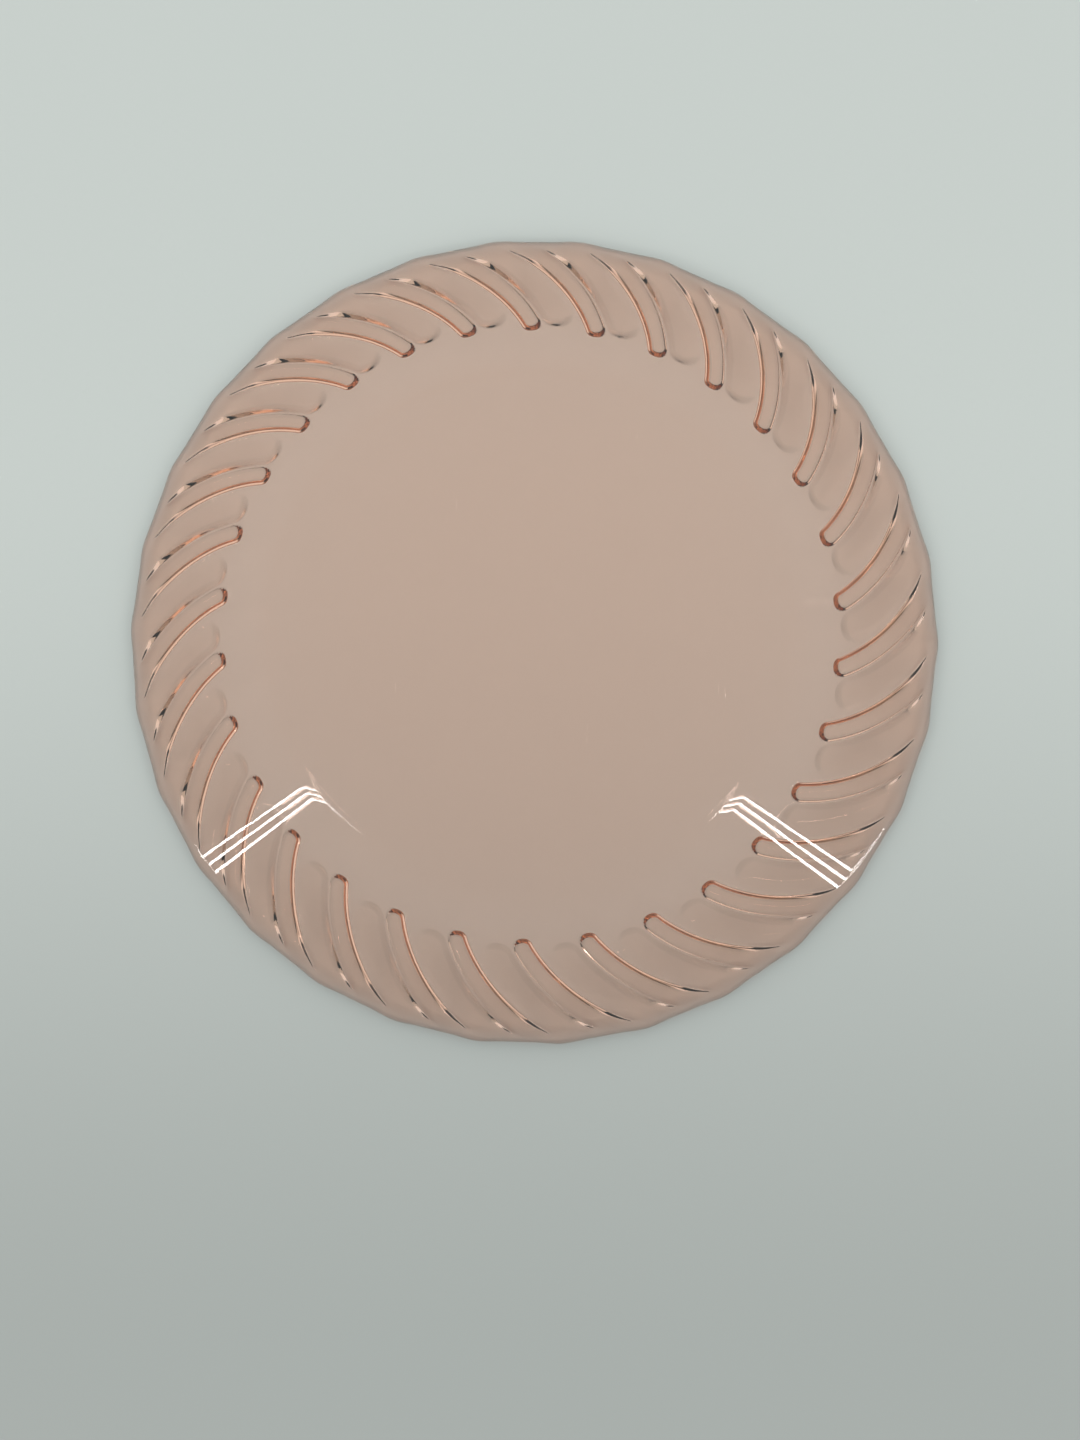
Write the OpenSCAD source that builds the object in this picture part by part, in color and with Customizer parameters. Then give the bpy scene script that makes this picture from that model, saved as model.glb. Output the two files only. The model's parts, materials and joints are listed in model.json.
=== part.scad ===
// Pressed-glass cake plate, one piece of clear pink glass. It stands on its rim: a flat raised
// top, a bent shoulder, and a wide rim that slopes down to a scalloped outline. The upper face is
// smooth. Narrow and wide ribs, raised on the underside of the rim, swirl round it in pairs.

/* [Plate] */
// Diameter over the points of the outline
plate_d = 270; // [262:1:290]
// Thickness of the glass
glass_t = 4; // [3.5:0.25:5]
// How far the outline dips between its points
scallop_depth = 0.9; // [0.75:0.05:1.5]

/* [Shoulder and rim] */
// Radius where the flat top and the slope of the rim would cross
shoulder_r = 80.5; // [78:0.5:86]
// Bend radius of the shoulder, on the upper face
shoulder_bend = 14; // [8:0.5:16]
// Slope of the rim just outside the shoulder, in degrees
slope_inside = 24; // [22:0.5:28]
// Slope of the rim at its edge, in degrees
slope_edge = 20.5; // [16:0.5:21.5]

/* [Ribs] */
// Number of rib pairs, each a narrow and a wide rib
rib_pairs = 30; // [24:1:32]
// Radius of the narrow ribs' inner ends
rib_inner_r = 98; // [94:0.5:102]
// How much further out the wide ribs begin
wide_start = 2; // [0:0.5:4]
// Distance from the ribs' outer ends out to the points of the outline, seen from above
rib_margin = 3.9; // [3.8:0.1:8]
// Width of a narrow rib at its inner end
narrow_w = 6.2; // [5:0.1:7]
// How much wider a narrow rib is at its outer end
narrow_growth = 0.8; // [0:0.1:1.2]
// Width of the groove left between two ribs
groove_w = 0.5; // [0.4:0.1:1]
// Height of the narrow ribs
narrow_h = 1.5; // [0.6:0.05:1.55]
// Height of the wide ribs at their inner ends
wide_h = 0.85; // [0.4:0.05:1]
// How much higher the wide ribs grow outwards
wide_h_growth = 0.4; // [0:0.05:0.5]

/* [Swirl] */
// Turn of a rib from its inner to its outer end if it kept its first angle, in degrees
swirl_turn = 9; // [4:0.5:10]
// Extra turn that it gains by leaning over further outwards, in degrees
swirl_lean = 5; // [0:0.5:5]
// Direction of the first narrow rib's inner end, in degrees
first_rib_at = 4.5; // [0:0.5:12]
// How far the outline's points lie behind the wide ribs' outer ends, in degrees
point_lag = 1.8; // [0:0.1:3]

/* [Hidden] */

pitch = 360 / rib_pairs;
rib_outer_r = plate_d / 2 - rib_margin;
swirl_run = rib_outer_r - rib_inner_r;
arc_steps = 6;
station_count = 6;      // sections of a rib between its rounded inner end and its fading outer end
fade_run = 4.3;         // length of the outer end, which fades to keep clear of the table
fade_steps = 3;
rib_root = 1.5;         // how far a rib is rooted in the glass

// The half section's arcs, with the top face at height 0 until it is lifted
half_t = glass_t / 2;
body_r = plate_d / 2 - half_t * (1 - sin(slope_edge));
flat_r = shoulder_r - shoulder_bend * tan(slope_inside / 2);
bend_centre = [flat_r, -shoulder_bend];
bend_end = bend_centre + shoulder_bend * up(slope_inside);
rim_bend = (body_r - bend_end.x) / (sin(slope_inside) - sin(slope_edge));
rim_centre = bend_end + rim_bend * up(slope_inside);
edge_centre = rim_centre - (rim_bend + half_t) * up(slope_edge);
plate_h = half_t - edge_centre.y;

// Unit normal of the upper face where it slopes by a degrees, in the plane of the half section
function up(a) = [sin(a), cos(a)];

// Points on an arc about a centre, from slope a to slope b; side is 1 on a crest, -1 in a hollow
function arc(centre, radius, side, a, b) =
    [for (i = [0 : arc_steps]) centre + side * radius * up(a + (b - a) * i / arc_steps)];

// Turn of a rib about the plate's axis at radius r, and that turn's growth per millimetre
function swirl(r) = let (s = (r - rib_inner_r) / swirl_run) swirl_turn * s + swirl_lean * s * s;
function swirl_rate(r) =
    (swirl_turn + 2 * swirl_lean * (r - rib_inner_r) / swirl_run) / swirl_run;

// Angle between a rib and the radial direction at radius r
function lean(r) = atan(r * swirl_rate(r) * PI / 180);

// Slope and height of the underside of the rim at radius r
function under_slope(r) = asin((rim_centre.x - r) / (rim_bend + glass_t));
function under_z(r) = plate_h + rim_centre.y - (rim_bend + glass_t) * cos(under_slope(r));

// Full widths of the ribs at radius r: a wide one fills what the narrow ones and grooves leave
function narrow_width(r) = narrow_w + narrow_growth * (r - rib_inner_r) / swirl_run;
function wide_width(r) = r * PI / 180 * pitch * cos(lean(r)) - narrow_width(r) - 2 * groove_w;

// Height of a rib at radius r, from its height at the inner end and its growth outwards
function rib_height(r, height, growth) =
    let (clear = 0.8 * (under_z(r) - 0.13))
    min(height + growth * (r - rib_inner_r) / swirl_run, clear);

// Stations along a rib as [radius, half width, height]: a rounded end, the run, a fading end
function stations(r_in, wide, height, growth) =
    let (
        width = function (r) wide ? wide_width(r) : narrow_width(r),
        w_in = width(r_in) / 2,
        run_in = r_in + w_in * cos(lean(r_in)),
        run_out = rib_outer_r - fade_run
    )
    [
        for (a = [30, 60])
            [r_in + (run_in - r_in) * (1 - cos(a)), w_in * sin(a), height * pow(sin(a), 2)],
        for (i = [0 : station_count - 1])
            let (r = run_in + (run_out - run_in) * i / (station_count - 1))
            [r, width(r) / 2, rib_height(r, height, growth)],
        for (i = [1 : fade_steps])
            let (r = run_out + fade_run * i / fade_steps)
            [r, width(r) / 2, rib_height(r, height, growth)]
    ];

// Section of a rib, as [across the rib, into the glass]
function rib_section(half_w, height) = [
    [half_w, rib_root], [half_w, 0], [0.7 * half_w, -0.76 * height], [0, -height],
    [-0.7 * half_w, -0.76 * height], [-half_w, 0], [-half_w, rib_root]
];

// That section set on the underside at a station: square to the rib at its inner end, turning to
// lie square to the plate's radius at its outer end
function placed_section(station) =
    let (
        r = station[0],
        tilt = lean(r) * (rib_outer_r - r) / swirl_run,
        half_w = station[1] / cos(lean(r) - tilt),
        turn = swirl(r),
        a = under_slope(r),
        out = [cos(turn), sin(turn), 0],
        round_dir = [-sin(turn), cos(turn), 0],
        origin = r * out + [0, 0, under_z(r)],
        into_glass = sin(a) * out + [0, 0, cos(a)],
        down_slope = cos(a) * out - [0, 0, sin(a)],
        across = cos(tilt) * round_dir - sin(tilt) * down_slope
    )
    [for (p = rib_section(half_w, station[2])) origin + p.x * across + p.y * into_glass];

// One rib, skinned through its sections
module rib(r_in, wide, height, growth) {
    sections = [for (s = stations(r_in, wide, height, growth)) placed_section(s)];
    n = len(sections[0]);
    last = len(sections) - 1;
    polyhedron(
        points = [for (s = sections) each s],
        faces = [
            [for (j = [n - 1 : -1 : 0]) j],
            [for (j = [0 : n - 1]) last * n + j],
            for (i = [0 : last - 1], j = [0 : n - 1])
                let (k = (j + 1) % n) each [
                    [i * n + j, (i + 1) * n + k, (i + 1) * n + j],
                    [i * n + j, i * n + k, (i + 1) * n + k]
                ]
        ]
    );
}

// Half section of the glass: upper face, round edge, then the underside back to the axis
module half_section() {
    edge_arc = [
        for (b = [180 / (2 * arc_steps) : 180 / (2 * arc_steps) : 179])
            edge_centre + half_t * (cos(b) * up(slope_edge) + sin(b) * up(slope_edge + 90))
    ];
    translate([0, plate_h])
        polygon(concat(
            [[0, 0]],
            arc(bend_centre, shoulder_bend, 1, 0, slope_inside),
            arc(rim_centre, rim_bend, -1, slope_inside, slope_edge),
            edge_arc,
            arc(rim_centre, rim_bend + glass_t, -1, slope_edge, slope_inside),
            arc(bend_centre, shoulder_bend - glass_t, 1, slope_inside, 0),
            [[0, -glass_t]]
        ));
}

// Outline seen from above: a point outside each wide rib and a dip outside each narrow one
module outline() {
    point_at = first_rib_at + swirl(rib_outer_r) + pitch / 2 - point_lag;
    polygon([
        for (i = [0 : 2 * rib_pairs - 1])
            let (r = plate_d / 2 - (i % 2) * scallop_depth, a = point_at + i * pitch / 2)
            r * [cos(a), sin(a)]
    ]);
}

module cake_plate() {
    color([0.91, 0.72, 0.66, 0.55])
    union() {
        intersection() {
            rotate_extrude($fn = 180) half_section();
            translate([0, 0, -1]) linear_extrude(plate_h + 2) outline();
        }
        for (i = [0 : rib_pairs - 1])
            rotate(first_rib_at + i * pitch) {
                rib(rib_inner_r, false, narrow_h, 0);
                rotate(pitch / 2) rib(rib_inner_r + wide_start, true, wide_h, wide_h_growth);
            }
    }
}

cake_plate();
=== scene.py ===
"""Looks of a pressed-glass cake plate that stands on its rim.

The plate is one piece of clear pink glass, so it is one mesh. Its half section is drawn as a wire
and spun through the angle of one pair of ribs. That sector is pressed into shape, repeated round
the axis and welded into a closed shell. Sizes are metres and angles are radians.
"""

import json
import logging
import math
from dataclasses import dataclass, field
from functools import cached_property

import bpy
from mathutils import Matrix, Vector

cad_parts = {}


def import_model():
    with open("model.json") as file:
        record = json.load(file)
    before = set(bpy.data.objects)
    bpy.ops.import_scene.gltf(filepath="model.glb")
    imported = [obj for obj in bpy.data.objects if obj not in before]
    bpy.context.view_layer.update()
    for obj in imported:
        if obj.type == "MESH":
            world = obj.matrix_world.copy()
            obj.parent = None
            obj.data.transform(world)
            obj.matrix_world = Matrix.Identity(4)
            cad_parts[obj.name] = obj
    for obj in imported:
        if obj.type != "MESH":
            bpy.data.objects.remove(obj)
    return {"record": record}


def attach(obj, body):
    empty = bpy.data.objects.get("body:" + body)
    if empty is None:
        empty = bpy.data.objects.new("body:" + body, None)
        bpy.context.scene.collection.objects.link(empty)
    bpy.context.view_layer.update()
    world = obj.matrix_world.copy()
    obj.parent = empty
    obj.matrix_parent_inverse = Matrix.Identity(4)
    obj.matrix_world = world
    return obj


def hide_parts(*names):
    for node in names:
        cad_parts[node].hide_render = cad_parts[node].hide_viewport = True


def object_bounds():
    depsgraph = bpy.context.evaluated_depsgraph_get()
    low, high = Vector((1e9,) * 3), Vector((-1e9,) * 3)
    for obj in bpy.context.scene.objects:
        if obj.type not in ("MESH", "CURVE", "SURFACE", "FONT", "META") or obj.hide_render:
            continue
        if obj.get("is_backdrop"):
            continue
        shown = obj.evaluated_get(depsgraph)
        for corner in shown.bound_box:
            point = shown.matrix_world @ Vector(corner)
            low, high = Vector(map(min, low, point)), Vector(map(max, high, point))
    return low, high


LOG = logging.getLogger("cake_plate")
MM = 0.001


def deselect_all() -> None:
    """Leave nothing selected, because an operator acts on all that is."""
    for thing in bpy.context.selected_objects:
        thing.select_set(False)


def work_on(thing: bpy.types.Object, mode: str) -> None:
    """Make one object the only selected and active one, and go to a mode.

    Args:
        thing: The object to work on.
        mode: Either "EDIT" or "OBJECT".
    """
    if bpy.context.mode != "OBJECT":
        bpy.ops.object.mode_set(mode="OBJECT")
    deselect_all()
    thing.select_set(True)
    bpy.context.view_layer.objects.active = thing
    bpy.ops.object.mode_set(mode=mode)


def round_steps(start: float, end: float, step: float) -> list[float]:
    """Split a run into equal steps.

    Args:
        start: Where the run starts; it isn't in the result.
        end: Where the run ends; it is in the result.
        step: About how long each step is.

    Returns:
        The stops along the run.
    """
    count = max(1, round(abs(end - start) / step))
    return [start + (end - start) * i / count for i in range(1, count + 1)]


def pose(place: Vector, right: Vector, up: Vector, back: Vector) -> Matrix:
    """Matrix that puts a thing at a place.

    Args:
        place: Where the thing is.
        right: Where its own X points.
        up: Where its own Y points.
        back: Where its own Z points, which is away from what a lamp or a camera faces.

    Returns:
        The matrix.
    """
    return Matrix.Translation(place) @ Matrix((right, up, back)).transposed().to_4x4()


@dataclass(frozen=True)
class HalfSection:
    """Half section of the glass, in the plane of the axis.

    Attributes:
        height: Height of the flat top above the table.
        thickness: Thickness of the glass.
        plate_r: Radius of the outline's points.
        shoulder_r: Radius where the flat top and the slope of the rim would cross.
        shoulder_bend: Bend radius of the shoulder, on the upper face.
        slope_inside: Slope of the rim just outside the shoulder.
        slope_edge: Slope of the rim at its edge.
        mould_ring_r: Radius of the faint ring that the mould leaves under the flat.
        mould_ring_h: Height of that ring.
        mould_ring_w: Distance from its middle at which it has mostly gone.
        bend_step: Angle between the points of the shoulder's bend.
        edge_step: Angle between the points of the rolled edge.
        rim_step: Distance between the points of the rim's upper face.
        ring_step: Distance between the points of the mould ring.
    """

    height: float
    thickness: float
    plate_r: float
    shoulder_r: float = 80.5 * MM
    shoulder_bend: float = 14 * MM
    slope_inside: float = math.radians(24)
    slope_edge: float = math.radians(20.5)
    mould_ring_r: float = 39 * MM
    mould_ring_h: float = 0.05 * MM
    mould_ring_w: float = 0.6 * MM
    bend_step: float = math.radians(3)
    edge_step: float = math.radians(15)
    rim_step: float = 3.2 * MM
    ring_step: float = 0.4 * MM

    @cached_property
    def body_r(self) -> float:
        """Radius where the upper face ends and the rolled edge begins."""
        return self.plate_r - self.thickness / 2 * (1 - math.sin(self.slope_edge))

    @cached_property
    def flat_r(self) -> float:
        """Radius of the flat top."""
        return self.shoulder_r - self.shoulder_bend * math.tan(self.slope_inside / 2)

    @cached_property
    def bend_centre(self) -> Vector:
        """Centre of the shoulder's bend, as radius and height."""
        return Vector((self.flat_r, self.height - self.shoulder_bend))

    @cached_property
    def bend_end(self) -> Vector:
        """Point where the shoulder's bend meets the rim, on the upper face."""
        return self.bend_centre + self.shoulder_bend * self.normal(self.slope_inside)

    @cached_property
    def rim_bend(self) -> float:
        """Radius of the rim's hollow bend, on the upper face."""
        run = self.body_r - self.bend_end.x
        return run / (math.sin(self.slope_inside) - math.sin(self.slope_edge))

    @cached_property
    def rim_centre(self) -> Vector:
        """Centre of the rim's hollow bend, as radius and height."""
        return self.bend_end + self.rim_bend * self.normal(self.slope_inside)

    @cached_property
    def edge_centre(self) -> Vector:
        """Centre of the rolled edge, as radius and height."""
        reach = self.rim_bend + self.thickness / 2
        return self.rim_centre - reach * self.normal(self.slope_edge)

    @staticmethod
    def normal(slope: float) -> Vector:
        """Unit normal of the upper face where it slopes by an angle."""
        return Vector((math.sin(slope), math.cos(slope)))

    def under_slope(self, radius: float) -> float:
        """Slope of the underside of the rim at a radius."""
        return math.asin((self.rim_centre.x - radius) / (self.rim_bend + self.thickness))

    def rim_point(self, radius: float, below: float) -> Vector:
        """Find a point of the rim.

        Args:
            radius: Its distance from the axis.
            below: How far the face that it lies on is below the upper face.

        Returns:
            The point, as radius and height.
        """
        bend = self.rim_bend + below
        drop = math.sqrt(bend**2 - (self.rim_centre.x - radius) ** 2)
        return Vector((radius, self.rim_centre.y - drop))

    def is_under(self, radius: float, height: float) -> bool:
        """Tell whether a point of the section lies on its lower half.

        Args:
            radius: Distance of the point from the axis.
            height: Height of the point above the table.

        Returns:
            True below the middle of the glass.
        """
        if radius < self.bend_end.x:
            return height < self.height - self.thickness / 2 - self._bend_drop(radius)
        if radius > self.edge_centre.x:
            across = Vector((radius, height)) - self.edge_centre
            return across.dot(self.normal(self.slope_edge)) < 0
        return height < self.rim_point(radius, self.thickness / 2).y

    def _bend_drop(self, radius: float) -> float:
        """Measure how far the middle of the glass has dropped inside the rim.

        Args:
            radius: Distance from the axis.

        Returns:
            The drop from its height under the flat.
        """
        bend = self.shoulder_bend - self.thickness / 2
        run = min(max(radius - self.flat_r, 0), bend)
        return bend - math.sqrt(bend**2 - run**2)

    def outline(self, rib_rows: list[float]) -> list[Vector]:
        """Points of the section, from the axis over the top and round the edge to the axis.

        Args:
            rib_rows: Radii of the underside's rows under the rim, from the edge inwards.

        Returns:
            The points, as radius and height.
        """
        top = [Vector((0, self.height)), Vector((self.flat_r / 2, self.height))]
        bend = [
            self.bend_centre + self.shoulder_bend * self.normal(a)
            for a in [0, *round_steps(0, self.slope_inside, self.bend_step)]
        ]
        rim_stops = round_steps(self.bend_end.x, self.body_r, self.rim_step)
        rim = [self.rim_point(r, 0) for r in rim_stops]
        edge = [
            self.edge_centre + self.thickness / 2 * self.normal(self.slope_edge + a)
            for a in round_steps(0, math.pi, self.edge_step)
        ]
        under_rim = [self.rim_point(r, self.thickness) for r in rib_rows]
        under_bend = [
            self.bend_centre + (self.shoulder_bend - self.thickness) * self.normal(a)
            for a in [self.slope_inside, *round_steps(self.slope_inside, 0, self.bend_step)]
        ]
        under_flat = [
            Vector((self.mould_ring_r + r, self._under_flat_z(r)))
            for r in round_steps(4 * self.ring_step, -4 * self.ring_step, self.ring_step)
        ]
        axis = [Vector((0, self.height - self.thickness))]
        return top + bend + rim + edge + under_rim + under_bend + under_flat + axis

    def _under_flat_z(self, from_ring: float) -> float:
        """Height of the flat's underside near the mould ring."""
        ring = self.mould_ring_h * math.exp(-((from_ring / self.mould_ring_w) ** 2))
        return self.height - self.thickness - ring


@dataclass(frozen=True)
class Swirl:
    """The course that every rib takes across the rim.

    Attributes:
        inner_r: Radius of the narrow ribs' inner ends, where the turn is zero.
        outer_r: Radius of all the ribs' outer ends.
        turn_even: Turn from end to end if a rib kept its first angle.
        turn_extra: Extra turn that it gains by leaning over further outwards.
    """

    inner_r: float = 98 * MM
    outer_r: float = 131.1 * MM
    turn_even: float = math.radians(9)
    turn_extra: float = math.radians(5)

    def share(self, radius: float) -> float:
        """How far along its course a rib is at a radius, from 0 to 1."""
        return min(max((radius - self.inner_r) / (self.outer_r - self.inner_r), 0), 1)

    def turn(self, radius: float) -> float:
        """Turn of the ribs about the plate's axis at a radius."""
        s = self.share(radius)
        return self.turn_even * s + self.turn_extra * s * s

    def lean(self, radius: float) -> float:
        """Angle between a rib and the radial direction at a radius."""
        rate = self.turn_even + 2 * self.turn_extra * self.share(radius)
        return math.atan(radius * rate / (self.outer_r - self.inner_r))


@dataclass(frozen=True)
class Rib:
    """One rib, raised on the underside.

    Attributes:
        start_r: Radius of its inner end.
        height: Height at its inner end.
        growth: How much higher it grows outwards.
        flatness: Power of its section; a higher one has a flatter back and steeper sides.
        foot: How soft the corner is where its side meets the underside.
    """

    start_r: float
    height: float
    growth: float
    flatness: float
    foot: float = 0.09 * MM

    def rise(self, across: float, share: float) -> float:
        """Height at a distance from the middle line.

        Args:
            across: That distance, where 1 is the rib's edge.
            share: How far along the rib's course, from 0 to 1.

        Returns:
            The height, which fades to nothing past a softly rounded foot.
        """
        raw = (self.height + self.growth * share) * (1 - min(across, 2) ** self.flatness)
        return (raw + math.hypot(raw, self.foot)) / 2


@dataclass
class CakePlate:
    """The plate: one piece of pressed glass.

    Attributes:
        section: Its half section.
        swirl: The course of its ribs.
        pairs: Number of rib pairs, each a narrow and a wide one.
        first_at: Direction of the first narrow rib's inner end.
        narrow: The narrow ribs.
        wide: The wide ribs.
        narrow_w: Width of a narrow rib at its inner end.
        narrow_growth: How much wider it is at its outer end.
        groove_w: Width of the groove left between two ribs.
        clear_share: The most of the gap above the edge's level that a rib may fill.
        clear_from: Height of that level above the table.
        scallop: How far the outline dips between its points.
        scallop_run: How far inside the ribs' outer ends the dips begin.
        point_lag: How far the points lie behind the wide ribs' outer ends.
        narrow_columns: Mesh columns across half a narrow rib.
        wide_columns: Mesh columns across half a wide rib.
        weld: Distance within which points of neighbouring sectors are joined.
    """

    section: HalfSection
    swirl: Swirl = field(default_factory=Swirl)
    pairs: int = 30
    first_at: float = math.radians(4.5)
    narrow: Rib = Rib(98 * MM, 1.5 * MM, 0, 3)
    wide: Rib = Rib(100 * MM, 0.85 * MM, 0.4 * MM, 2.5)
    narrow_w: float = 6.2 * MM
    narrow_growth: float = 0.8 * MM
    groove_w: float = 0.5 * MM
    clear_share: float = 0.8
    clear_from: float = 0.13 * MM
    scallop: float = 0.9 * MM
    scallop_run: float = 3 * MM
    point_lag: float = math.radians(1.8)
    narrow_columns: int = 5
    wide_columns: int = 7
    weld: float = 0.003 * MM

    @property
    def pitch(self) -> float:
        """Angle of one pair of ribs."""
        return math.tau / self.pairs

    @property
    def columns(self) -> int:
        """Mesh columns in one sector: both ribs, and two in each groove."""
        return 2 * (self.narrow_columns + self.wide_columns + 2)

    def narrow_half(self, radius: float) -> float:
        """Half the angle that a narrow rib spans at a radius."""
        width = self.narrow_w + self.narrow_growth * self.swirl.share(radius)
        return width / 2 / (radius * math.cos(self.swirl.lean(radius)))

    def groove_angle(self, radius: float) -> float:
        """Angle that a groove spans at a radius."""
        return self.groove_w / (radius * math.cos(self.swirl.lean(radius)))

    def wide_half(self, radius: float) -> float:
        """Half the angle that a wide rib spans: what the narrow ones and grooves leave."""
        return self.pitch / 2 - self.narrow_half(radius) - self.groove_angle(radius)

    def column_angle(self, column: int, radius: float) -> float:
        """Angle of a mesh column in its sector, before the swirl.

        Columns keep to the same part of a rib at every radius, and crowd at its sides.

        Args:
            column: Number of the column, counted from the narrow rib's middle line.
            radius: Distance from the axis.

        Returns:
            The angle from that middle line.
        """
        if column > self.columns / 2:
            return self.pitch - self.column_angle(self.columns - column, radius)
        radius = min(max(radius, self.swirl.inner_r), self.swirl.outer_r)
        if column <= self.narrow_columns:
            share = math.sin(math.pi / 2 * column / self.narrow_columns)
            return share * self.narrow_half(radius)
        if column == self.narrow_columns + 1:
            return self.narrow_half(radius) + self.groove_angle(radius) / 2
        share = math.sin(math.pi / 2 * (self.columns / 2 - column) / self.wide_columns)
        return self.pitch / 2 - share * self.wide_half(radius)

    def rib_width(self, rib: Rib, radius: float) -> float:
        """Half the width of a rib, square to its course, at a radius."""
        half = self.narrow_half if rib is self.narrow else self.wide_half
        return half(radius) * radius * math.cos(self.swirl.lean(radius))

    def rib_height(self, rib: Rib, radius: float, angle: float) -> float:
        """Height of a rib at a point of the underside.

        Args:
            rib: The narrow or the wide rib.
            radius: Distance of the point from the axis.
            angle: Its angle from the rib's middle line at the same radius.

        Returns:
            The height there, with the inner end of the rib rounded and its outer end fading.
        """
        aside = radius * angle
        across = abs(aside) * math.cos(self.swirl.lean(radius)) / self.rib_width(rib, radius)
        half = self.rib_width(rib, rib.start_r)
        middle = rib.start_r + half * math.cos(self.swirl.lean(rib.start_r))
        lean = self.swirl.lean(middle)
        out = radius - middle
        round_by = aside + radius * (self.swirl.turn(radius) - self.swirl.turn(middle))
        if out * math.cos(lean) + round_by * math.sin(lean) < 0:
            across = math.hypot(out, round_by) / self.rib_width(rib, middle)
        gap = self.section.rim_point(radius, self.section.thickness).y - self.clear_from
        return min(rib.rise(across, self.swirl.share(radius)), max(self.clear_share * gap, 0))

    def rib_rows(self) -> list[float]:
        """Space the mesh rows of the underside, close together at the ribs' ends.

        Returns:
            The rows' radii, from the edge inwards.
        """
        # Where each run of rows ends, and how far apart its rows are
        stops = (
            (self.swirl.outer_r + 0.6 * MM, 0.8 * MM),
            (self.swirl.outer_r - 5 * MM, 0.62 * MM),
            (self.narrow.start_r + 4.4 * MM, 0.85 * MM),
            (self.narrow.start_r - 0.6 * MM, 0.28 * MM),
            (self.section.bend_end.x + 2 * MM, 3 * MM),
        )
        rows = []
        here = self.section.body_r - self.section.thickness * math.sin(self.section.slope_edge)
        for stop, step in stops:
            rows += round_steps(here, stop, step)
            here = stop
        return rows

    def build(self) -> bpy.types.Object:
        """Make the plate's mesh.

        Returns:
            The finished plate, at the origin.
        """
        plate = self._draw_section()
        self._spin_sector(plate)
        self._press(plate.data)
        self._repeat_round(plate)
        return plate

    def _draw_section(self) -> bpy.types.Object:
        """Draw the half section as a wire, one extruded point after another.

        Returns:
            The object that holds the wire.
        """
        points = self.section.outline(self.rib_rows())
        deselect_all()
        bpy.ops.mesh.primitive_plane_add(size=MM, location=(0, 0, self.section.height))
        plate = bpy.context.object
        plate.name = plate.data.name = "glass_plate"
        bpy.ops.object.transform_apply(location=True, rotation=False, scale=False)
        work_on(plate, "EDIT")
        bpy.ops.mesh.select_all(action="SELECT")
        bpy.ops.mesh.merge(type="CENTER")
        for here, there in zip(points, points[1:]):
            step = there - here
            bpy.ops.mesh.extrude_vertices_move(
                TRANSFORM_OT_translate={"value": (step.x, 0, step.y)}
            )
        return plate

    def _spin_sector(self, plate: bpy.types.Object) -> None:
        """Spin the wire through the angle of one pair of ribs.

        Args:
            plate: The object that holds the wire.
        """
        work_on(plate, "EDIT")
        bpy.ops.mesh.select_all(action="SELECT")
        bpy.ops.mesh.spin(
            steps=self.columns, angle=self.pitch, center=(0, 0, 0), axis=(0, 0, 1)
        )
        bpy.ops.object.mode_set(mode="OBJECT")

    def _press(self, mesh: bpy.types.Mesh) -> None:
        """Move the sector's points into the ribs, the swirl and the scalloped outline.

        Args:
            mesh: The sector's mesh.
        """
        for vertex in mesh.vertices:
            radius = math.hypot(vertex.co.x, vertex.co.y)
            if radius < MM:
                continue
            angle = abs(math.atan2(vertex.co.y, vertex.co.x))
            vertex.co = self._pressed(radius, vertex.co.z, round(angle / self.pitch * self.columns))

    def _pressed(self, radius: float, height: float, column: int) -> Vector:
        """Where a point of the plain sector goes.

        Args:
            radius: Its distance from the axis.
            height: Its height above the table.
            column: Its mesh column.

        Returns:
            Its place in the pressed sector.
        """
        angle = self.column_angle(column, radius)
        turn = self.swirl.turn(self.swirl.outer_r)
        if self.section.is_under(radius, height):
            turn = self.swirl.turn(radius)
            if self.narrow.start_r - MM < radius < self.swirl.outer_r + MM:
                slope = self.section.under_slope(radius)
                height -= self._relief_at(radius, angle) / math.cos(slope)
        angle += turn
        shift = self._scallop_shift(radius, angle)
        radius -= shift
        height += shift * math.tan(self.section.slope_edge)
        angle += self.first_at
        return Vector((radius * math.cos(angle), radius * math.sin(angle), height))

    def _relief_at(self, radius: float, angle: float) -> float:
        """Measure how high the relief of the underside stands.

        Args:
            radius: Distance of a point from the axis.
            angle: Its angle in the sector, before the swirl.

        Returns:
            The height there of whichever rib covers it.
        """
        from_narrow = (angle + self.pitch / 2) % self.pitch - self.pitch / 2
        border = self.narrow_half(radius) + self.groove_angle(radius) / 2
        if abs(from_narrow) <= border:
            return self.rib_height(self.narrow, radius, from_narrow)
        return self.rib_height(self.wide, radius, angle - self.pitch / 2)

    def _scallop_shift(self, radius: float, angle: float) -> float:
        """Measure how far the outline's dips pull a point towards the axis.

        Args:
            radius: Distance of the point from the axis.
            angle: Its angle in the sector, with the swirl.

        Returns:
            That distance, which is nothing at the outline's points and inside the rim.
        """
        start = self.swirl.outer_r - self.scallop_run
        share = min(max((radius - start) / (self.section.plate_r - start), 0), 1)
        point_at = self.pitch / 2 + self.swirl.turn(self.swirl.outer_r) - self.point_lag
        dip = 1 - math.cos(math.pi * (angle - point_at) / self.pitch) ** 4
        return self.scallop * dip * share**2 * (3 - 2 * share)

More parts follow.
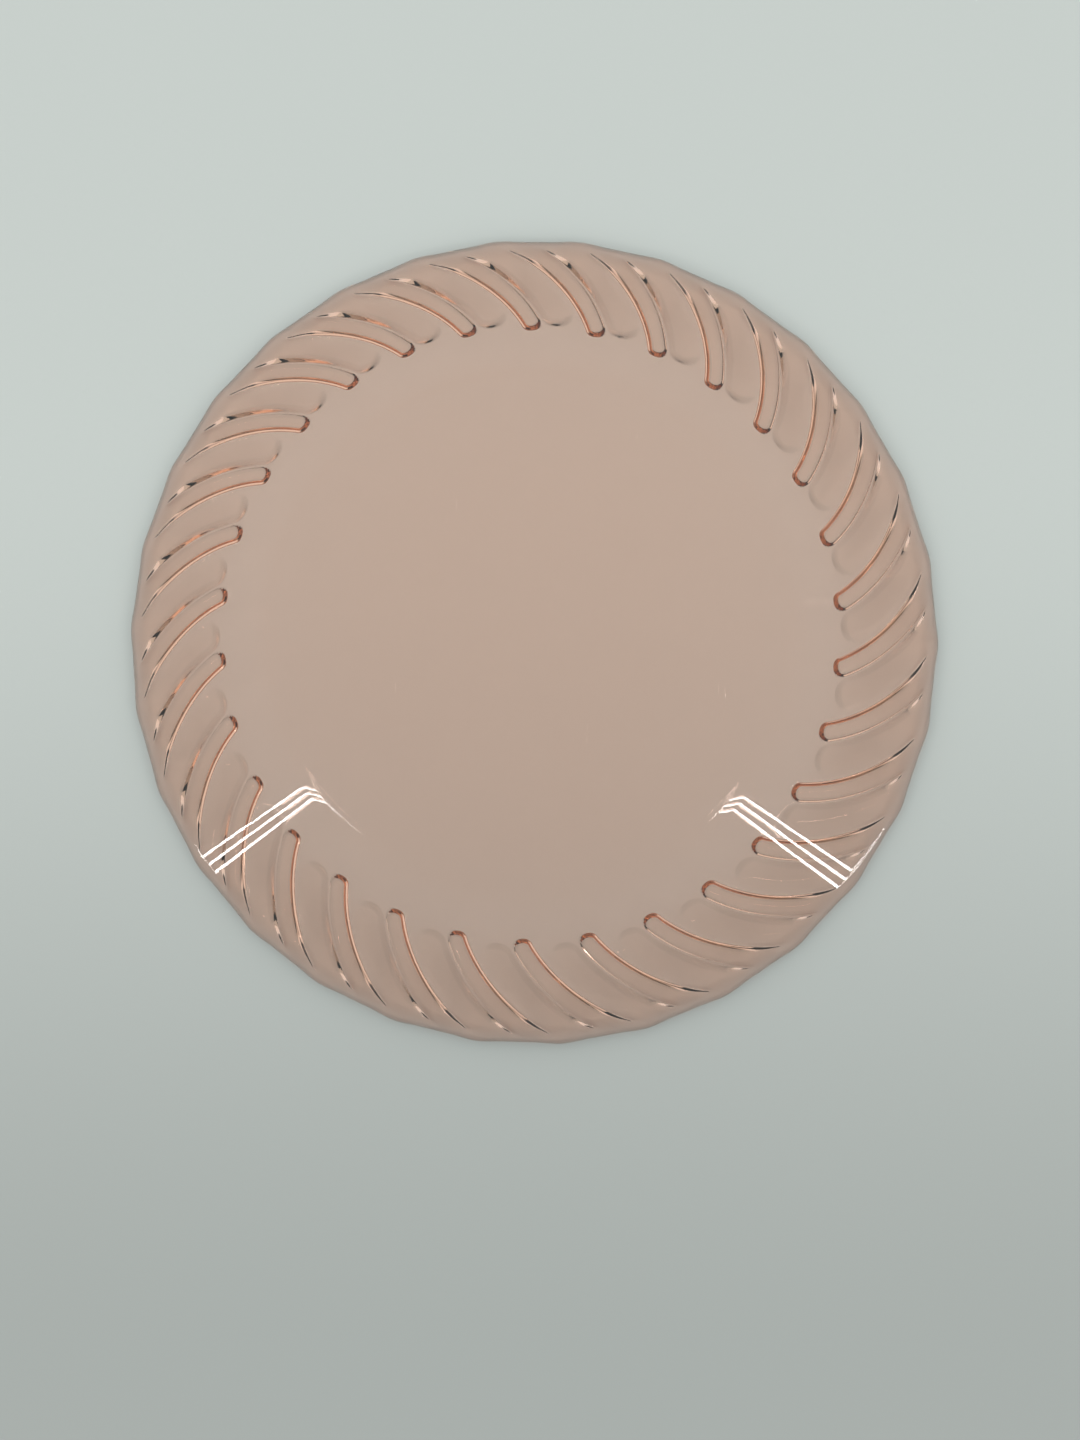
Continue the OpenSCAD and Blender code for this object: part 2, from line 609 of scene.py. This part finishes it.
    def _repeat_round(self, plate: bpy.types.Object) -> None:
        """Repeat the sector round the axis and weld the copies into a closed shell.

        Args:
            plate: The object that holds the sector.
        """
        work_on(plate, "EDIT")
        bpy.ops.mesh.select_all(action="SELECT")
        bpy.ops.mesh.spin(
            steps=self.pairs - 1,
            dupli=True,
            angle=math.tau - self.pitch,
            center=(0, 0, 0),
            axis=(0, 0, 1),
        )
        bpy.ops.mesh.select_all(action="SELECT")
        bpy.ops.mesh.remove_doubles(threshold=self.weld)
        bpy.ops.mesh.normals_make_consistent(inside=False)
        bpy.ops.object.mode_set(mode="OBJECT")
        bpy.ops.object.shade_smooth()


class Signal:
    """A shader socket that Python expressions can work on."""

    def __init__(self, tree: "ShaderTree", socket: bpy.types.NodeSocket) -> None:
        """Keep the socket and the tree that it belongs to.

        Args:
            tree: The tree that new Math nodes go into.
            socket: The output socket that holds the value.
        """
        self.tree = tree
        self.socket = socket

    def math(self, operation: str, first: "Term", second: "Term") -> "Signal":
        """Join two terms by a Math node.

        Args:
            operation: The Math node's operation.
            first: Its first term.
            second: Its second term.

        Returns:
            The result.
        """
        settings = {"operation": operation}
        return self.tree.node("ShaderNodeMath", settings, {0: first, 1: second})

    def __add__(self, other: "Term") -> "Signal":
        """Sum."""
        return self.math("ADD", self, other)

    def __radd__(self, other: "Term") -> "Signal":
        """Sum, with a number first."""
        return self.math("ADD", other, self)

    def __sub__(self, other: "Term") -> "Signal":
        """Difference."""
        return self.math("SUBTRACT", self, other)

    def __rsub__(self, other: "Term") -> "Signal":
        """Difference, with a number first."""
        return self.math("SUBTRACT", other, self)

    def __mul__(self, other: "Term") -> "Signal":
        """Product."""
        return self.math("MULTIPLY", self, other)

    def __rmul__(self, other: "Term") -> "Signal":
        """Product, with a number first."""
        return self.math("MULTIPLY", other, self)

    def __abs__(self) -> "Signal":
        """Absolute value."""
        return self.math("ABSOLUTE", self, 0)

    def above(self, edge: float, width: float) -> "Signal":
        """Soft step.

        Args:
            edge: The value at which the result has risen to one.
            width: How far below the edge it begins to rise.

        Returns:
            A value from 0 to 1.
        """
        settings = {"interpolation_type": "SMOOTHSTEP"}
        values = {"Value": self, "From Min": edge - width, "From Max": edge}
        return self.tree.node("ShaderNodeMapRange", settings, values)


Term = Signal | float


Colour = tuple[float, float, float, float]


class ShaderTree:
    """The node tree of one material."""

    def __init__(self, name: str) -> None:
        """Make a material with an empty node tree.

        Args:
            name: The material's name.
        """
        self.material = bpy.data.materials.new(name)
        self.material.use_nodes = True
        self.tree = self.material.node_tree
        self.tree.nodes.clear()

    def node(
        self, kind: str, settings: dict[str, object], values: dict[int | str, object]
    ) -> Signal:
        """Add a node.

        Args:
            kind: The node's type.
            settings: Its properties, which are set first.
            values: What its input sockets hold: numbers, tuples or other nodes' results.

        Returns:
            The node's first output that is in use.
        """
        node = self.tree.nodes.new(kind)
        for name, value in settings.items():
            setattr(node, name, value)
        for key, value in values.items():
            if isinstance(value, Signal):
                self.tree.links.new(value.socket, node.inputs[key])
            else:
                node.inputs[key].default_value = value
        return Signal(self, next((s for s in node.outputs if s.enabled), None))

    def place(self, turn: float = 0.0, scale: tuple[float, float, float] = (1, 1, 1)) -> Signal:
        """Object coordinates, turned about the plate's axis and stretched.

        Args:
            turn: Angle of the turn.
            scale: Scale along each axis.

        Returns:
            The coordinates, as a vector.
        """
        source = self.tree.nodes.new("ShaderNodeTexCoord")
        values = {
            "Vector": Signal(self, source.outputs["Object"]),
            "Rotation": (0, 0, turn),
            "Scale": scale,
        }
        return self.node("ShaderNodeMapping", {"vector_type": "POINT"}, values)

    def along(self, axis: str) -> Signal:
        """Object coordinate along one axis.

        Args:
            axis: Either "X", "Y" or "Z".

        Returns:
            The coordinate, as a number.
        """
        parts = self.node("ShaderNodeSeparateXYZ", {}, {"Vector": self.place()})
        return Signal(self, parts.socket.node.outputs[axis])

    def output(self, shader: Signal, volume: Signal | None = None) -> bpy.types.Material:
        """Join a shader to the material's output.

        Args:
            shader: The surface shader.
            volume: The volume shader, if there is one.

        Returns:
            The finished material.
        """
        values = {"Surface": shader}
        if volume is not None:
            values["Volume"] = volume
        self.node("ShaderNodeOutputMaterial", {}, values)
        return self.material


@dataclass(frozen=True)
class PressedGlass:
    """Clear pale pink soda glass, fire-polished, with fine wear on the raised face and painted
    light on the rim's skin.

    Attributes:
        ior: Index of refraction.
        tint: Absorption colour.
        density: Absorption density.
        flat_tint: Tint of the flat's skin.
        rim_tint_and_painted_light: Tint of the rim's skin, paler than the flat's: painted light for
            the caustics that the lamps throw under the rim.
        rim_r: Radius from which the rim's tint is whole.
        tint_run: Distance over which one tint changes to the other.
        ripple_scale: Fineness of the waves that pressing leaves in the surface.
        ripple_h: Height of those waves.
        scratch_ways: Direction of each family of scratches, and how many fit in a metre.
        scratch_length: How many times longer than wide a scratch is.
        scratch_sharpness: How thin the scratches are in their pattern.
        patch_scale: Fineness of the patches that scratches come in.
        patch_edges: Where a patch is full, and how softly it ends.
        scratch_depth: How deep a scratch is, as a share of the waves.
        wear: Roughness in a scratch.
        worn_depth: How far below the flat top the wear ends.
    """

    ior: float = 1.51
    tint: Colour = (0.89, 0.49, 0.19, 1)
    density: float = 70.0
    flat_tint: Colour = (0.99, 0.918, 0.914, 1)
    # Paler than flat_tint: painted light for the caustics under the rim
    rim_tint_and_painted_light: Colour = (1, 0.955, 0.97, 1)
    rim_r: float = 98 * MM
    tint_run: float = 26 * MM
    ripple_scale: float = 38
    ripple_h: float = 0.006 * MM
    scratch_ways: tuple[tuple[float, float], ...] = ((0.5, 900), (1.9, 700), (2.7, 1100))
    scratch_length: float = 45
    scratch_sharpness: float = 60
    patch_scale: float = 55
    patch_edges: tuple[float, float] = (0.66, 0.08)
    scratch_depth: float = 0.2
    wear: float = 0.22
    worn_depth: float = 0.5 * MM

    def scratches(self, tree: ShaderTree, turn: float, fineness: float) -> Signal:
        """Fine scratches that run one way.

        Args:
            tree: The material's tree.
            turn: Direction of the scratches.
            fineness: How many lie side by side in a metre.

        Returns:
            A mask that is 1 in a scratch.
        """
        slow = fineness / self.scratch_length
        values = {"Vector": tree.place(turn, (fineness, slow, slow)), "Scale": 1, "Detail": 1}
        lines = tree.node("ShaderNodeTexNoise", {}, values)
        values = {"Vector": tree.place(turn), "Scale": self.patch_scale, "Detail": 2}
        patches = tree.node("ShaderNodeTexNoise", {}, values)
        thin = 1 - abs(lines - 0.5) * self.scratch_sharpness
        return thin.above(1, 1) * patches.above(*self.patch_edges)

    def skin_tint_and_painted_light(self, tree: ShaderTree) -> Signal:
        """Tint of the surface, which turns paler across the shoulder: the rim's paler tint is
        painted light for the caustics under it.

        Args:
            tree: The material's tree.

        Returns:
            The colour.
        """
        values = {0: tree.place(0, (1, 1, 0))}
        radius = tree.node("ShaderNodeVectorMath", {"operation": "LENGTH"}, values)
        # Painted light: the rim's skin is paler than the flat's, standing in for the caustics that
        # the lamps throw under the rim
        on_rim = radius.above(self.rim_r, self.tint_run)
        values = {0: on_rim, 6: self.flat_tint, 7: self.rim_tint_and_painted_light}
        return tree.node("ShaderNodeMix", {"data_type": "RGBA"}, values)

    def make(self, section: HalfSection) -> bpy.types.Material:
        """Make the material.

        Args:
            section: The plate's section, which says where the raised face is.

        Returns:
            The glass.
        """
        tree = ShaderTree("pink_pressed_glass")
        raised = tree.along("Z").above(section.height - self.worn_depth, self.worn_depth)
        worn = raised * sum(self.scratches(tree, *way) for way in self.scratch_ways)
        values = {"Vector": tree.place(), "Scale": self.ripple_scale}
        waves = tree.node("ShaderNodeTexNoise", {}, values) - worn * self.scratch_depth
        values = {"Strength": 1, "Distance": self.ripple_h, "Height": waves}
        bump = tree.node("ShaderNodeBump", {}, values)
        values = {
            # Base Color holds the glass's tint, with painted light on the rim
            "Base Color": self.skin_tint_and_painted_light(tree),
            "Roughness": worn * self.wear,
            "IOR": self.ior,
            "Transmission Weight": 1,
            "Normal": bump,
        }
        shader = tree.node("ShaderNodeBsdfPrincipled", {}, values)
        values = {"Color": self.tint, "Density": self.density}
        return tree.output(shader, tree.node("ShaderNodeVolumeAbsorption", {}, values))


@dataclass(frozen=True)
class PaleTable:
    """The pale grey-green painted table top that the plate is shown on, darkened towards the front
    by a painted shadow.

    Attributes:
        colour: Its colour.
        front_painted_shade: How much of its colour is left in front of the plate, under a painted
            shadow as of a person standing there.
        front_y: Where that painted shadow is full.
        back_y: Where it begins.
        roughness: Roughness where the paint is smoothest.
        uneven: How much rougher it gets in places.
        cloud_scale: Fineness of those places.
    """

    colour: tuple[float, float, float] = (0.62, 0.655, 0.633)
    front_painted_shade: float = 0.66
    front_y: float = -0.25
    back_y: float = 0.08
    roughness: float = 0.55
    uneven: float = 0.1
    cloud_scale: float = 9

    def make(self) -> bpy.types.Material:
        """Make the material.

        Returns:
            The table top's paint, with a painted shadow darkening its colour towards the front.
        """
        tree = ShaderTree("pale_table")
        values = {"Vector": tree.place(), "Scale": self.cloud_scale}
        cloud = tree.node("ShaderNodeTexNoise", {}, values)
        # Painted shadow: the colour darkens towards the front (-Y), as if a person leaning over the
        # table shaded it
        painted_light_share = tree.along("Y").above(self.back_y, self.back_y - self.front_y)
        values = {0: self.colour, "Scale": self.front_painted_shade + painted_light_share * (1 - self.front_painted_shade)}
        colour = tree.node("ShaderNodeVectorMath", {"operation": "SCALE"}, values)
        values = {"Base Color": colour, "Roughness": self.roughness + cloud * self.uneven}
        return tree.output(tree.node("ShaderNodeBsdfPrincipled", {}, values))


@dataclass
class Studio:
    """Floor, lights and camera.

    Attributes:
        plate_r: Radius of the plate, which the camera's distance follows.
        floor_size: Side of the floor.
        floor_drop: How far below the plate the floor lies, so that they don't touch.
        sky: Strength of the soft light from all round.
        sky_colour: Its colour.
        tube_h: Height of the lamp tubes.
        tube_x: How far to either side a tube's middle hangs.
        tube_y: How far in front of the plate the middle tube of three hangs.
        tube_gap: Distance between neighbouring tubes.
        tube_size: Length and width of a tube.
        tube_power: Power of a tube in watts.
        bounces: How often light may bounce or pass through glass.
        sensor: Height of the camera's sensor in millimetres.
        lens: Its focal length in millimetres.
        camera_at: Its place, in plate radii.
        camera_tip: How far it tips forward from straight down.
        camera_roll: How far it leans to the side.
        camera_near: Nearest distance that it sees.
    """

    plate_r: float
    floor_size: float = 8.0
    floor_drop: float = 0.1 * MM
    sky: float = 0.91
    sky_colour: Colour = (0.97, 1.0, 0.985, 1)
    tube_h: float = 2.0
    tube_x: float = 2.74
    tube_y: float = -1.69
    tube_gap: float = 0.072
    tube_size: tuple[float, float] = (1.72, 0.014)
    tube_power: float = 2.2
    bounces: int = 16
    sensor: float = 36
    lens: float = 27.025
    camera_at: tuple[float, float, float] = (0.128, -0.323, 2.679)
    camera_tip: float = math.radians(2.47)
    camera_roll: float = math.radians(-2.16)
    camera_near: float = 0.01

    def build(self) -> None:
        """Make the whole studio."""
        self._floor()
        self._sky()
        self._tubes()
        self._camera()
        scene = bpy.context.scene
        scene.view_settings.view_transform = "Standard"
        scene.cycles.blur_glossy = 0  # a blur would darken what is seen through the glass
        scene.cycles.max_bounces = self.bounces
        scene.cycles.transmission_bounces = self.bounces

    def _floor(self) -> None:
        """Lay the floor that the plate stands on."""
        deselect_all()
        place = (0, 0, -self.floor_drop)
        bpy.ops.mesh.primitive_plane_add(size=self.floor_size, location=place)
        floor = bpy.context.object
        floor.name = floor.data.name = "table_top"
        floor.data.materials.append(PaleTable().make())
        floor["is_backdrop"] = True

    def _sky(self) -> None:
        """Set the soft light from all round."""
        world = bpy.data.worlds.new("studio_sky")
        bpy.context.scene.world = world
        world.use_nodes = True
        background = world.node_tree.nodes["Background"]
        background.inputs["Color"].default_value = self.sky_colour
        background.inputs["Strength"].default_value = self.sky

    def _tube(self, name: str, place: Vector) -> None:
        """Hang one tube along X, so that it faces the plate.

        Args:
            name: The tube's name.
            place: Where its middle hangs.
        """
        deselect_all()
        bpy.ops.object.light_add(type="AREA", location=place)
        lamp = bpy.context.object
        lamp.name = lamp.data.name = name
        lamp.data.shape = "RECTANGLE"
        lamp.data.size, lamp.data.size_y = self.tube_size
        lamp.data.energy = self.tube_power
        right = Vector((1, 0, 0))
        back = Vector((0, place.y, place.z)).normalized()
        lamp.matrix_world = pose(place, right, back.cross(right), back)

    def _tubes(self) -> None:
        """Hang two groups of three thin parallel tubes, low in the sky on either side."""
        for side in (-1, 1):
            for i in (-1, 0, 1):
                place = (side * self.tube_x, self.tube_y + self.tube_gap * i, self.tube_h)
                self._tube(f"tube_{side + 1}_{i + 1}", Vector(place))

    def _camera(self) -> None:
        """Hold the camera over the plate, a little in front of its middle."""
        data = bpy.data.cameras.new("camera")
        data.sensor_fit = "VERTICAL"
        data.sensor_height = data.sensor_width = self.sensor
        data.lens = self.lens
        data.clip_start = self.camera_near
        camera = bpy.data.objects.new("camera", data)
        bpy.context.scene.collection.objects.link(camera)
        level = math.cos(self.camera_tip)
        forward = Vector((
            math.sin(self.camera_roll) * level,
            math.sin(self.camera_tip),
            -math.cos(self.camera_roll) * level,
        ))
        right = Vector((math.cos(self.camera_roll), 0, math.sin(self.camera_roll)))
        right = (right - right.dot(forward) * forward).normalized()
        place = Vector(self.camera_at) * self.plate_r
        camera.matrix_world = pose(place, right, right.cross(forward), -forward)
        bpy.context.scene.camera = camera


def main() -> None:
    """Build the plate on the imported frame, dress it and light it."""
    logging.basicConfig(level=logging.INFO, format="%(name)s: %(message)s")
    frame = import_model()
    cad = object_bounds()
    mounts = {m["name"]: m["pos_m"][2] for m in frame["record"]["mounts"]}
    section = HalfSection(
        height=mounts["cake_face"],
        thickness=mounts["cake_face"] - mounts["support_face"],
        plate_r=cad[1].x,
    )
    plate = CakePlate(section).build()
    plate.data.materials.append(PressedGlass().make(section))
    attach(plate, "root")
    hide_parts("cake_plate")
    LOG.info("%s: %d faces", plate.name, len(plate.data.polygons))
    Studio(section.plate_r).build()


if __name__ == "__main__":
    main()
